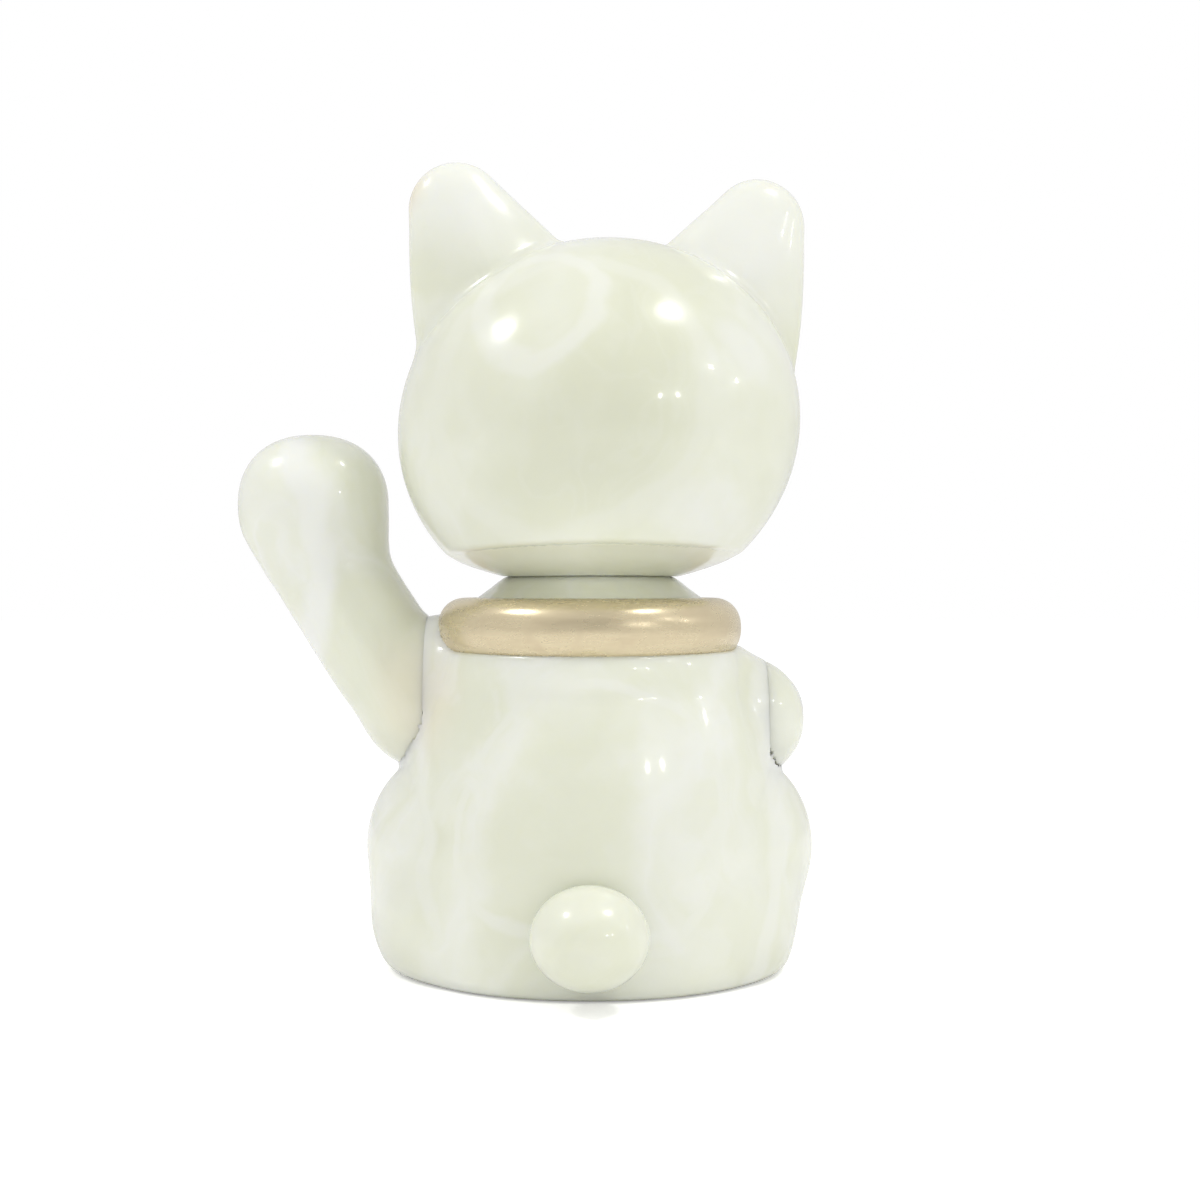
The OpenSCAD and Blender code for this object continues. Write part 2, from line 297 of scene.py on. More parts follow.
def net_faces(inside, index):
    """A quad, facing outwards, round every grid edge that the surface crosses."""
    count = inside.shape
    faces = []
    for axis in range(3):
        u, v = (axis + 1) % 3, (axis + 2) % 3
        here = [slice(None)] * 3
        there = [slice(None)] * 3
        here[axis], there[axis] = slice(0, -1), slice(1, None)
        at = np.argwhere(inside[tuple(here)] != inside[tuple(there)])
        at = at[(at[:, u] > 0) & (at[:, v] > 0) & (at[:, u] < count[u] - 1) & (at[:, v] < count[v] - 1)]
        corners = []
        for du, dv in ((1, 1), (0, 1), (0, 0), (1, 0)):
            c = at.copy()
            c[:, u] -= du
            c[:, v] -= dv
            corners.append(index[tuple(c.T)])
        quad = np.stack(corners, 1)
        flip = ~inside[tuple(at.T)]
        quad[flip] = quad[flip][:, ::-1]
        faces.append(quad)
    return np.vstack(faces)


def crease(p, g, skin, cut, cell):
    """Puts the points near the edge of a cut exactly on the edge, with the skin's normal."""
    reach, furthest, exact = 0.75 * cell, 1.2 * cell, 0.02
    near = np.flatnonzero((np.abs(skin(p)) < reach) & (np.abs(cut(p)) < reach))
    q = p[near]
    for _ in range(6):
        q = step_on(cut, step_on(skin, q, cell), cell)
    good = (length(q - p[near]) < furthest) & (np.abs(skin(q)) < exact) & (np.abs(cut(q)) < exact)
    p[near[good]] = q[good]
    g[near[good]] = gradient(skin, q[good])


def shell_mesh(name, field, low, high, cell, creases=()):
    """A closed mesh on the zero surface of a field, by surface nets and Newton steps.
    Each crease is a pair of fields, (skin, cut), whose shared edge is kept sharp."""
    low, values = sampled(field, low, high, cell)
    p, index = net_points(low, values, cell)
    faces = net_faces(values < 0, index)
    for _ in range(4):
        p = step_on(field, p, cell)
    g = gradient(field, p)
    for skin, cut in creases:
        crease(p, g, skin, cut, cell)
    return mesh_object(name, p, faces, normals=g / np.maximum(length(g), 1e-6)[:, None])


def mesh_object(name, points, faces, normals=None):
    """A smooth-shaded object from points in millimetres."""
    faces = np.asarray(faces, np.int32)
    n, corners = faces.shape
    mesh = bpy.data.meshes.new(name)
    mesh.vertices.add(len(points))
    mesh.vertices.foreach_set("co", (np.asarray(points, np.float64) * MM).astype(np.float32).ravel())
    mesh.loops.add(n * corners)
    mesh.loops.foreach_set("vertex_index", faces.ravel())
    mesh.polygons.add(n)
    mesh.polygons.foreach_set("loop_start", np.arange(0, n * corners, corners, dtype=np.int32))
    mesh.polygons.foreach_set("loop_total", np.full(n, corners, np.int32))
    mesh.update(calc_edges=True)
    mesh.validate()
    mesh.shade_smooth()
    if normals is not None:
        mesh.normals_split_custom_set_from_vertices(normals.astype(float).tolist())
    obj = bpy.data.objects.new(name, mesh)
    bpy.context.scene.collection.objects.link(obj)
    return obj


def turned_mesh(name, profile, around=220):
    """A ring turned about Z from a closed profile of (radius, z)."""
    profile = np.asarray(profile, float)
    m = len(profile)
    angle = np.arange(around) * 2 * math.pi / around
    r, z = profile[:, 0], profile[:, 1]
    p = np.stack([np.outer(np.cos(angle), r), np.outer(np.sin(angle), r), np.tile(z, (around, 1))], 2)
    i, j = np.meshgrid(np.arange(around), np.arange(m), indexing="ij")
    i2, j2 = (i + 1) % around, (j + 1) % m
    faces = np.stack([i * m + j, i2 * m + j, i2 * m + j2, i * m + j2], 2).reshape(-1, 4)
    return mesh_object(name, p.reshape(-1, 3), faces)


# ---------------------------------------------------------------- body
def toe_grooves(p, at, reach, spread, tall):
    """Two grooves between three toes, cut into the front of a foot at the point given."""
    wide = 0.55
    cut = None
    for side in (-1, 1):
        x = at[0] + side * spread
        one = bar(p, (x, at[1] - reach, at[2] - tall), (x, at[1] - reach * 0.8, at[2] + tall), wide, wide)
        cut = one if cut is None else np.minimum(cut, one)
    return cut


def belly(p):
    return ellipsoid(p, BELLY_AT, BELLY_R)


def collar_field(p):
    u = np.abs(np.hypot(p[:, 0], p[:, 1]) - COLLAR_RING) / COLLAR_TUBE
    v = np.abs(p[:, 2] - COLLAR_MID) / COLLAR_HALF
    return ((u ** BEAD_POWER + v ** BEAD_POWER) ** (1 / BEAD_POWER) - 1) * COLLAR_TUBE


def left_root(p):
    """The round shoulder that the body and the raised arm share, level on both sides of their seam."""
    return blend_min(ball(p, left_seat, LEFT_R), ball(p, left_seat + vec(0, 0, 4.8), LEFT_R - 2.2), 3)


def right_root(p):
    return ball(p, right_seat + vec(-0.7, 0, 0), RIGHT_R)


def left_beyond(p):
    """Below zero on the raised arm's side of its seam."""
    return left_seat[0] - SEAM / 2 - p[:, 0]


def right_beyond(p):
    """Below zero on the lowered arm's side of its seam."""
    return p[:, 0] - RIGHT_SEAM_X - SEAM / 2


def left_cut(p):
    """Where the body's own skin stops for the raised arm."""
    return np.maximum(left_root(p) - ROOT_BLEND, left_beyond(p))


def right_cut(p):
    return np.maximum(right_root(p) - ROOT_BLEND, right_beyond(p))


def left_cup(p):
    """The round cup that the raised arm's shoulder turns in, beyond the seam only."""
    return np.where(left_beyond(p) > 0.2, 9, ball(p, left_seat, LEFT_R + SEAM))


def right_cup(p):
    return np.where(right_beyond(p) > 0.2, 9, right_root(p) - SEAM)


def lower_body(p):
    """Belly, thighs, hips and feet."""
    d = belly(p)
    for side in (-1, 1):
        mirror = vec(side, 1, 1)
        d = blend_min(d, ellipsoid(p, THIGH_AT * mirror, THIGH_R), 2.2)
        d = blend_min(d, ellipsoid(p, HIP_AT * mirror, HIP_R + vec(side * HIP_FULLER, 0, 0)), 3)
        foot = ellipsoid(p, FOOT_AT * mirror, FOOT_R)
        foot = blend_max(foot, -toe_grooves(p, FOOT_AT * mirror, FOOT_R[1], 3.4, 5), 1.2)
        d = blend_min(d, foot, 2.5)
    return blend_max(d, -p[:, 2], BASE_ROUND)


def left_thigh(p):
    """Thigh and belly rising round the raised arm's shoulder."""
    return blend_min(lower_body(p), ball(p, left_seat, LEFT_R) + CUP_DROP, ROOT_BLEND)


def right_thigh(p):
    return blend_min(lower_body(p), right_root(p) + CUP_DROP, ROOT_BLEND)


def seated(skin, thigh, cut, cup):
    """The skin ended at an arm's seam. Beyond it only thigh and belly go on, with a cup for the shoulder."""
    lap = 0.05
    return np.minimum(np.maximum(skin, -cut), np.maximum(np.maximum(thigh, -cup), cut - lap))


def torso_skin(p):
    """The body without its sockets."""
    d = lower_body(p)
    d = blend_min(d, np.hypot(np.hypot(p[:, 0], p[:, 1]) - YOKE_RING, p[:, 2] - YOKE_Z) - YOKE_TUBE, 3.5)
    d = blend_max(d, p[:, 2] - COLLAR_FOOT - 1.4, 0.8)
    d = blend_min(d, ball(p, left_seat + vec(-4.5, 0, 4.8), LEFT_R - 1.2), 3)
    d = blend_min(d, left_root(p), 2)
    d = blend_min(d, ball(p, right_seat + vec(4.5, 0, 3.6), RIGHT_R - 1.7), 3)
    d = blend_min(d, right_root(p), 3)
    d = np.maximum(d, -collar_field(p) - 0.4)
    neck = blend_max(neck_form(p), p[:, 2] - NECK_TOP - 2.4, 0.8)
    neck = np.maximum(neck, COLLAR_FOOT - 4 - p[:, 2])
    return blend_max(blend_min(d, neck, 0.8), -p[:, 2], 0.3)


def tail_recess(p):
    across = np.hypot(p[:, 0], p[:, 2] - tail_joint[2])
    return np.maximum(across - TAIL_FACE_R - SEAM, tail_joint[1] - SEAM / 2 - p[:, 1])


def torso_field(p):
    d = seated(torso_skin(p), left_thigh(p), left_cut(p), ball(p, left_seat, LEFT_R + SEAM))
    d = seated(d, right_thigh(p), right_cut(p), right_root(p) - SEAM)
    d = np.maximum(d, -tail_recess(p))
    deep = vec(PLUG_DEEP, 0, 0)
    for seat in (left_seat, right_seat):
        d = blend_max(d, -bar(p, seat - deep, seat + deep, PLUG_R, PLUG_R), SEAT_ROUND)
    across = np.hypot(p[:, 0], p[:, 2] - tail_joint[2])
    tail_hole = np.maximum(across - TAIL_HOLE_R, tail_joint[1] - TAIL_HOLE_DEEP - p[:, 1])
    base_hole = np.maximum(np.hypot(p[:, 0], p[:, 1]) - BASE_HOLE_R, p[:, 2] - BASE_HOLE_DEEP)
    return blend_max(blend_max(d, -tail_hole, SEAT_ROUND), -base_hole, SEAT_ROUND)


# ---------------------------------------------------------------- head
def in_ear(p, side):
    """Points of the head's own frame in an ear's leaning frame, measured from the middle of its tip."""
    q = p - (EAR_AT * vec(side, 1, 1) + vec(EAR_SHIFT, 0, side * EAR_RISE))
    return turned(q, side * EAR_LEAN, 1)


def ear_field(p, side):
    """A leaf-shaped ear with a ridge down its back and a hollowed front."""
    q = in_ear(p, side)
    x, y, z = q[:, 0] * side, q[:, 1], q[:, 2]
    grow = math.sin(EAR_SPREAD)
    down = np.clip(-z, 0, EAR_LONG)
    ease = np.clip(down / 10, 0, 1) ** 2 * (3 - 2 * np.clip(down / 10, 0, 1))
    power = 2 - 0.45 * ease * np.clip(y / 2, 0, 1)
    across = (np.abs(x) ** power + np.abs(y / 0.58) ** power) ** (1 / power)
    along = np.clip(-z + grow * across / math.cos(EAR_SPREAD), 0, 30)
    d = np.hypot(z + along, across) - EAR_TIP_R - grow * along
    d = d - 0.3 * np.sin(down * math.pi / EAR_LONG) + 0.0035 * down ** 2 * np.clip(x / 4 + 0.5, 0, 1)
    hollow = ellipsoid(q, vec(0, -0.56 * EAR_TIP_R - 5.6, -6.5), vec(6, 4.4, 11))
    return blend_max(np.maximum(0.75 * d, -z - EAR_LONG), -hollow, 1.2)


def head_skin(p):
    """The outside of the head without its underside, in the head's own turned frame."""
    skull = ellipsoid(turned(p - SKULL_AT, SKULL_ROLL, 1), vec(0, 0, 0), SKULL_R)
    d = blend_min(skull, ellipsoid(p, MUZZLE_AT, MUZZLE_R), 2.5)
    for side in (-1, 1):
        d = blend_min(d, ear_field(p, side), 1.3)
    return d


def head_field(p):
    q = turned(p, HEAD_TURN, 2)
    inward = 1 - (q[:, 0] / CHIN_R[0]) ** 2 - ((q[:, 1] - SKULL_AT[1]) / CHIN_R[1]) ** 2
    tilted = (q[:, 2] - CHIN_Z) * math.cos(CHIN_TILT) - q[:, 1] * math.sin(CHIN_TILT)
    d = blend_max(head_skin(q), -tilted - CHIN_DOME * np.maximum(inward, -0.06), 0.9)
    socket = np.maximum(neck_form(p) - NECK_CLEAR, p[:, 2] - NECK_TOP - 6)
    return blend_max(d, -socket, 0.5)


# ---------------------------------------------------------------- arms and tail
LEFT_PATH = smooth_path([[28.4, -1, 44.4], [33.2, -1, 50.2], [40.3, -1.5, 61], [44.1, -2, 68]],
                        [9.2, 9.5, 9.4, 9.9])
RIGHT_PATH = smooth_path([[-25.8, -1.8, 41], [-28.4, -12.5, 41.6], [-24.3, -23.6, 42], [-16.5, -30.5, 41.2]],
                         [9.3, 8.3, 7.6, 7.9])


def left_arm_skin(p):
    d = blend_min(limb(p, LEFT_PATH), left_root(p), 2)
    d = blend_min(d, boxy(p, LEFT_PAW, LEFT_PAW_R, LEFT_PAW_POWER), 4)
    for i in (-1, 0, 1):
        d = blend_min(d, ball(p, LEFT_PAW + vec(i * TOE_PITCH, -8.6, 4.2 - abs(i)), TOE_R), 1.4)
    return d


def left_arm_end(p):
    return left_seat[0] + SEAM / 2 - p[:, 0]


def left_arm_field(p):
    d = np.maximum(left_arm_skin(p), left_arm_end(p))
    return np.minimum(d, bar(p, left_seat - vec(3, 0, 0), left_seat + vec(2, 0, 0), PLUG_R - 1, PLUG_R - 0.3))


def right_arm_skin(p):
    d = blend_min(limb(p, RIGHT_PATH), right_root(p), 1)
    d = blend_max(d, -toe_grooves(p, RIGHT_PATH[-1][:3], 8.0, 2.6, 4), 1.0)
    return blend_max(d, BODY_CLEAR - belly(p), SEAT_ROUND)


def right_arm_end(p):
    """The space on the body's side of the lowered arm's seam: a wide disc about the seat's axis."""
    radial = np.hypot(p[:, 1] - right_seat[1], p[:, 2] - right_seat[2]) - RIGHT_R - GAP
    return np.maximum(radial, RIGHT_SEAM_X - p[:, 0] - SEAM / 2)


def right_arm_field(p):
    d = np.maximum(right_arm_skin(p), -right_arm_end(p))
    plug = bar(p, right_seat - vec(6, 0, 0), right_seat + vec(3, 0, 0), PLUG_R - 0.3, PLUG_R - 1)
    return np.minimum(d, plug)


def tail_ball(p):
    return ellipsoid(p, TAIL_AT, TAIL_RADII)


def tail_end(p):
    return tail_joint[1] + SEAM / 2 - p[:, 1]


def tail_field(p):
    plug = bar(p, tail_joint - vec(0, 4, 0), tail_joint + vec(0, 2, 0), 2.6, 2.8)
    return np.minimum(np.maximum(tail_ball(p), tail_end(p)), plug)


# ---------------------------------------------------------------- materials
class Nodes:
    """A short way to write a material's node tree."""

    def __init__(self, name):
        self.mat = bpy.data.materials.new(name)
        self.mat.use_nodes = True
        self.tree = self.mat.node_tree
        self.shader = self.tree.nodes["Principled BSDF"]

    def put(self, value, socket):
        if isinstance(value, bpy.types.NodeSocket):
            self.tree.links.new(value, socket)
        else:
            socket.default_value = value

    def add(self, kind, out=0, inputs=(), **settings):
        node = self.tree.nodes.new(kind)
        for key, value in settings.items():
            setattr(node, key, value)
        for key, value in dict(inputs).items():
            self.put(value, node.inputs[key])
        return node.outputs[out]

    def math(self, operation, a, b=0.0, clamp=False):
        return self.add("ShaderNodeMath", 0, {0: a, 1: b}, operation=operation, use_clamp=clamp)

    def noise(self, at, scale, detail=3.0, rough=0.5, bend=0.0, colour=False):
        sockets = {"Vector": at, "Scale": scale, "Detail": detail, "Roughness": rough, "Distortion": bend}
        return self.add("ShaderNodeTexNoise", 1 if colour else 0, sockets)

    def ramp(self, value, low, high):
        return self.add("ShaderNodeMapRange", 0, {0: value, 1: low, 2: high, 3: 0.0, 4: 1.0},
                        interpolation_type="SMOOTHSTEP")

    def mix(self, share, a, b):
        return self.add("ShaderNodeMix", 2, {0: share, 6: a, 7: b}, data_type="RGBA")

    def vector(self, operation, a, b=(0, 0, 0), out=0):
        return self.add("ShaderNodeVectorMath", out, {0: a, 1: b}, operation=operation)

    def distance(self, at, centre):
        return self.vector("DISTANCE", at, tuple(map(float, centre)), out=1)

    def product(self, a, b):
        return self.math("MULTIPLY", a, b)

    def line(self, value, sharp):
        """1 along the line where a noise value passes through a half, falling to 0 on both sides."""
        off = self.math("ABSOLUTE", self.math("SUBTRACT", value, 0.5))
        return self.math("SUBTRACT", 1.0, self.math("MULTIPLY", off, sharp), True)

    def times(self, a, scale):
        return self.add("ShaderNodeVectorMath", 0, {0: a, 3: scale}, operation="SCALE")

    def bump(self, height, strength, distance):
        return self.add("ShaderNodeBump", 0, {"Height": height, "Strength": strength, "Distance": distance})

    def set(self, **sockets):
        for key, value in sockets.items():
            self.put(value, self.shader.inputs[key.replace("_", " ")])
        return self.mat


def rgb(*colour):
    """A linear colour from an sRGB one given in 0 to 255."""
    parts = [c / 255 for c in colour]
    return (*[c / 12.92 if c <= 0.04045 else ((c + 0.055) / 1.055) ** 2.4 for c in parts], 1.0)


GREEN = rgb(228, 230, 212)
# Milky tone of the veins; the same tone also makes the painted highlights and painted light of the arcs and
# pale spots.
MILK_AND_PAINTED_LIGHT = rgb(239, 240, 237)
OLIVE = rgb(221, 223, 202)
AMBER = rgb(231, 216, 186)


def marbled(name, seed, arcs=(), pale_spots=(), warm=()):
    """Glossy cast marble: pale green with milky veils, olive clouds and a few amber stains, all in mm.
    arcs are milky sheets (centre, radius, width, strength), and some of them are painted highlights and
    painted light.
    The pale spots are milky clouds, and some of them are painted light; warm are amber stains; both (centre,
    radius, strength)."""
    n = Nodes(name)
    mm = n.times(n.add("ShaderNodeTexCoord", 3), 1000.0)
    shifted = n.vector("ADD", mm, (37.0 * seed, 11.0 * seed, 5.0 * seed))
    sway = n.vector("SUBTRACT", n.noise(shifted, 0.028, 2.0, 0.5, 0.4, colour=True), (0.5, 0.5, 0.5))
    curl = n.vector("SUBTRACT", n.noise(shifted, 0.11, 3.0, 0.55, 0.0, colour=True), (0.5, 0.5, 0.5))
    warped = n.vector("ADD", n.vector("ADD", shifted, n.times(sway, 46.0)), n.times(curl, 9.0))
    long_way = n.vector("MULTIPLY", warped, (1.0, 1.0, 0.42))
    clouds = n.noise(long_way, 0.022, 3.0, 0.45, 0.5)
    veil = n.noise(n.vector("ADD", long_way, (19.0, 0.0, 7.0)), 0.026, 4.0, 0.5, 0.9)
    thread = n.noise(n.vector("ADD", long_way, (3.0, 31.0, 0.0)), 0.05, 3.0, 0.5, 1.2)
    milk_and_painted_light = n.product(n.product(n.line(veil, 8.0), n.ramp(clouds, 0.42, 0.62)), 0.6)
    milk_and_painted_light = n.math("MAXIMUM", milk_and_painted_light, n.product(n.ramp(veil, 0.60, 0.72), 0.6))
    milk_and_painted_light = n.math("MAXIMUM", milk_and_painted_light, n.product(n.line(thread, 24.0), 0.08))
    bent = n.vector("ADD", n.vector("ADD", mm, n.times(sway, 16.0)), n.times(curl, 4.0))
    # Arcs and pale spots lighten the marble to its milky tone: milky veins and clouds, and in places painted
    # highlights and painted light.
    for centre, radius, width, strength in arcs:
        off = n.math("ABSOLUTE", n.math("SUBTRACT", n.distance(bent, centre), float(radius)))
        milk_and_painted_light = n.math("MAXIMUM", milk_and_painted_light, n.product(n.ramp(off, float(width), float(width) * 0.25), strength))
    for centre, radius, strength in pale_spots:
        near = n.ramp(n.distance(bent, centre), float(radius), float(radius) * 0.3)
        milk_and_painted_light = n.math("MAXIMUM", milk_and_painted_light, n.product(near, strength))
    body = n.mix(n.ramp(clouds, 0.60, 0.36), GREEN, OLIVE)
    body = n.mix(milk_and_painted_light, body, MILK_AND_PAINTED_LIGHT)
    for centre, radius, strength in warm:
        near = n.ramp(n.distance(bent, centre), float(radius), float(radius) * 0.2)
        body = n.mix(n.product(near, strength), body, AMBER)
    grain = n.noise(mm, 0.9, 3.0, 0.6)
    body = n.mix(n.product(n.ramp(grain, 0.62, 0.78), 0.10), body, OLIVE)
    rough = n.math("ADD", n.product(n.noise(mm, 0.35, 4.0, 0.6), 0.14), 0.16)
    lumps = n.math("ADD", n.noise(mm, 0.07, 2.0, 0.5), n.product(n.noise(mm, 1.6, 3.0, 0.6), 0.03))
    return n.set(Base_Color=body, Roughness=rough, IOR=1.5, Normal=n.bump(lumps, 0.2, 0.0015),
                 Subsurface_Weight=0.5, Subsurface_Radius=(1.0, 0.95, 0.7), Subsurface_Scale=0.005,
                 Coat_Weight=0.6, Coat_Roughness=0.07)


def gilded(name, seed):
    """Glossy gold paint with brushed streaks round the ring, thin spots and a few dull patches."""
    n = Nodes(name)
    mm = n.times(n.add("ShaderNodeTexCoord", 3), 1000.0)
    at = n.vector("ADD", mm, (17.0 * seed, 3.0 * seed, 9.0 * seed))
    streak = n.noise(n.vector("MULTIPLY", at, (0.35, 0.35, 2.2)), 0.5, 4.0, 0.6, 0.3)
    patch = n.noise(at, 0.16, 3.0, 0.55, 0.8)
    gold = n.mix(n.ramp(streak, 0.15, 0.90), rgb(212, 197, 164), rgb(223, 209, 176))
    gold = n.mix(n.product(n.ramp(patch, 0.50, 0.80), 0.3), gold, rgb(200, 180, 152))
    rough = n.math("ADD", n.product(streak, 0.10), n.product(n.ramp(patch, 0.5, 0.75), 0.10))
    height = n.math("ADD", n.product(streak, 0.2), n.noise(at, 0.4, 2.0, 0.5))
    return n.set(Base_Color=gold, Metallic=0.65, Roughness=n.math("ADD", rough, 0.22),
                 Normal=n.bump(height, 0.025, 0.0002), Coat_Weight=0.08, Coat_Roughness=0.12)


def brass(name):
    """Polished thin brass: fine turning lines, brown tarnish in patches."""
    n = Nodes(name)
    mm = n.times(n.add("ShaderNodeTexCoord", 3), 1000.0)
    stain = n.noise(mm, 0.55, 4.0, 0.6, 0.8)
    colour = n.mix(n.ramp(stain, 0.48, 0.72), rgb(222, 184, 96), rgb(160, 116, 54))
    line = n.noise(n.vector("MULTIPLY", mm, (0.5, 0.5, 9.0)), 1.4, 2.0, 0.5)
    rough = n.math("ADD", n.product(stain, 0.25), 0.12)
    return n.set(Base_Color=colour, Metallic=1.0, Roughness=rough, Normal=n.bump(line, 0.15, 0.0002))


def steel(name):
    """Plain steel with dull spots."""
    n = Nodes(name)
    mm = n.times(n.add("ShaderNodeTexCoord", 3), 1000.0)
    spot = n.noise(mm, 1.2, 4.0, 0.6)
    grey = n.mix(n.ramp(spot, 0.45, 0.7), rgb(176, 177, 180), rgb(120, 118, 116))
    rough = n.math("ADD", n.product(spot, 0.3), 0.12)
    return n.set(Base_Color=grey, Metallic=1.0, Roughness=rough, Normal=n.bump(spot, 0.1, 0.0002))


def painted(name, colour, worn):
    """Brushed gloss enamel: slightly uneven colour and thickness."""
    n = Nodes(name)
    mm = n.times(n.add("ShaderNodeTexCoord", 3), 1000.0)
    stroke = n.noise(n.vector("MULTIPLY", mm, (1.0, 1.0, 0.3)), 1.1, 4.0, 0.6, 0.5)
    body = n.mix(n.ramp(stroke, 0.5, 0.8), colour, worn)
    rough = n.math("ADD", n.product(stroke, 0.2), 0.12)
    return n.set(Base_Color=body, Roughness=rough, Normal=n.bump(stroke, 0.15, 0.0002), Coat_Weight=0.4,
                 Coat_Roughness=0.05)


# ---------------------------------------------------------------- shells
def dress(obj, body, slot, material, *nodes):
    """Gives a piece its material and the body it rides on, and hides the CAD nodes that it replaces. The slot
    is not used.
    """
    obj.data.materials.clear()
    obj.data.materials.append(material)
    if nodes:
        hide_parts(*nodes)
    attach(obj, body)
    return obj


SHOULDER_STAIN = ((27, 10, 46), 13, 0.3)
torso_marble = marbled(
    "marble_torso", 1.0,
    arcs=[((0, 32, 27), 21, 1.8, 0.4), ((34, 26, 36), 12, 1.6, 0.3),
          # The two wide arcs round x = ±60 are painted highlights down the creases between back and thighs,
          # drawn as milky veins.
          ((60, 8, 35), 90.3, 2.6, 0.45), ((-60, 8, 35), 88.6, 2.4, 0.4)],
    # The pale spot at (0, 0, 66) is painted light that lifts the shade round the neck under the head; the one
    # at (-30, 8, 14) is a painted highlight on the right haunch.
    pale_spots=[((-20, 22, 45), 8, 0.75), ((-30, 8, 14), 8, 0.4), ((0, 0, 66), 18, 1.0)],
    warm=[SHOULDER_STAIN])
head_marble = marbled(
    "marble_head", 2.0,
    arcs=[((9, 28, 107), 10, 3.0, 0.42), ((2, 30, 92), 22, 3.2, 0.22)],
    pale_spots=[((-26, 22, 100), 8, 0.5), ((20, 8, 122), 18, 0.7),
           ((-26, 4, 120), 18, 0.7), ((6, 24, 103), 8, 0.3)],
    warm=[((30, 8, 126), 9, 0.55), ((-30, 6, 130), 4, 0.7)])
raised_arm_marble = marbled(
    "marble_raised_arm", 3.0,
    # This arc is painted light: a broad lighter band down the raised paw.
    arcs=[((80, 8, 70), 37, 5.0, 0.75)],
    warm=[SHOULDER_STAIN])

torso_creases = [(torso_skin, left_cut), (torso_skin, right_cut), (left_thigh, left_cup),
                 (right_thigh, right_cup), (torso_skin, tail_recess)]
torso_top = torso_high - vec(0, 0, 3)
torso_shell = shell_mesh("torso_shell", torso_field, torso_low, torso_top, CELL, torso_creases)
dress(torso_shell, "body", "vinyl", torso_marble, "torso")
head_shell = shell_mesh("head_shell", head_field, head_low, head_high, CELL)
dress(head_shell, "head", "vinyl", head_marble, "head")
raised_arm_shell = shell_mesh("raised_arm_shell", left_arm_field, *box_mm("left_arm"), CELL,
                              [(left_arm_skin, left_arm_end)])
dress(raised_arm_shell, "raised_arm", "vinyl", raised_arm_marble, "left_arm")
lowered_arm_shell = shell_mesh("lowered_arm_shell", right_arm_field, *box_mm("right_arm"), CELL,
                               [(right_arm_skin, right_arm_end)])
dress(lowered_arm_shell, "lowered_arm", "vinyl", marbled("marble_lowered_arm", 4.0), "right_arm")
tail_shell = shell_mesh("tail_shell", tail_field, tail_low, tail_high, CELL * 0.6, [(tail_ball, tail_end)])
dress(tail_shell, "tail", "vinyl", marbled("marble_tail", 5.0), "tail")


# ---------------------------------------------------------------- collar
def collar_profile(steps=88):
    """One full bead, a little squarer than an ellipse."""
    points = []
    for a in np.arange(steps) * 2 * math.pi / steps:
        c, t = math.cos(a), math.sin(a)
        r = COLLAR_RING + COLLAR_TUBE * math.copysign(abs(c) ** (2 / BEAD_POWER), c)
        points.append((r, COLLAR_MID + COLLAR_HALF * math.copysign(abs(t) ** (2 / BEAD_POWER), t)))
    return points


collar = turned_mesh("collar_ring", collar_profile())
dress(collar, "body", "gold_paint", gilded("gold_collar", 1.0), "collar")

# ---------------------------------------------------------------- bell
BELL_R = 5.3
BELL_WALL = 0.6
BELL_DROP = 8.3       # from the pivot down to the middle of the ball
BELL_LEAN = math.radians(24)
LOOP_R, WIRE_R = 1.9, 0.55
BEAD_R = 0.38
BEAD_Z = 0.42
HALF_GAP = 0.03       # from the halves' joint to each half
SLIT_HALF = 0.6


def bell_frame(p):
    """Points in the bell's own leaning frame, measured from the middle of its ball."""
    return turned((p - bell_pivot).astype(np.float32), -BELL_LEAN, 0) + vec(0, 0, BELL_DROP)


def bell_half(q, side):
    """The ball's wall with the bead that runs round one half's edge."""
    wall = np.abs(length(q) - BELL_R + BELL_WALL / 2) - BELL_WALL / 2
    edge = np.hypot(np.hypot(q[:, 0], q[:, 1]) - BELL_R, q[:, 2] - side * BEAD_Z) - BEAD_R
    return blend_min(wall, edge, 0.25)


def bell_upper_field(p):
    q = bell_frame(p)
    crown = np.maximum(length(q) - BELL_R - 0.28, np.hypot(q[:, 0], q[:, 1]) - 2.3)
    d = blend_min(bell_half(q, 1), np.maximum(crown, BELL_R - BELL_WALL - q[:, 2]), 0.3)
    return blend_max(d, HALF_GAP - q[:, 2], 0.08)


def bell_lower_field(p):
    q = bell_frame(p)
    slit = np.maximum(np.abs(q[:, 1]) - SLIT_HALF, q[:, 2] + 2.0)
    for side in (-1, 1):
        slit = np.minimum(slit, bar(q, (side * 2.4, 0, -1.2), (side * 7.2, 0, -3.6), 1.15, 1.15))
    return blend_max(blend_max(bell_half(q, -1), -slit, 0.15), HALF_GAP + q[:, 2], 0.08)


def bell_loop_field(p):
    q = bell_frame(p) - vec(0, 0, BELL_DROP - LOOP_R)
    wire = np.hypot(np.hypot(q[:, 0], q[:, 2]) - LOOP_R, q[:, 1]) - WIRE_R
    solder = ellipsoid(q, vec(0, 0, LOOP_R - BELL_DROP + BELL_R + 0.1), vec(1.5, 1.1, 0.55))
    return blend_min(wire, solder, 0.4)


def bell_eye_field(p):
    """The wire eye on the collar, standing across the bell's loop."""
    q = p - bell_pivot
    u = np.abs(np.hypot(q[:, 1], q[:, 2]) - LOOP_R) / WIRE_R
    v = np.abs(q[:, 0]) / WIRE_R
    return np.maximum(((u ** 3 + v ** 3) ** (1 / 3) - 1) * WIRE_R, -collar_field(p) - 0.3)


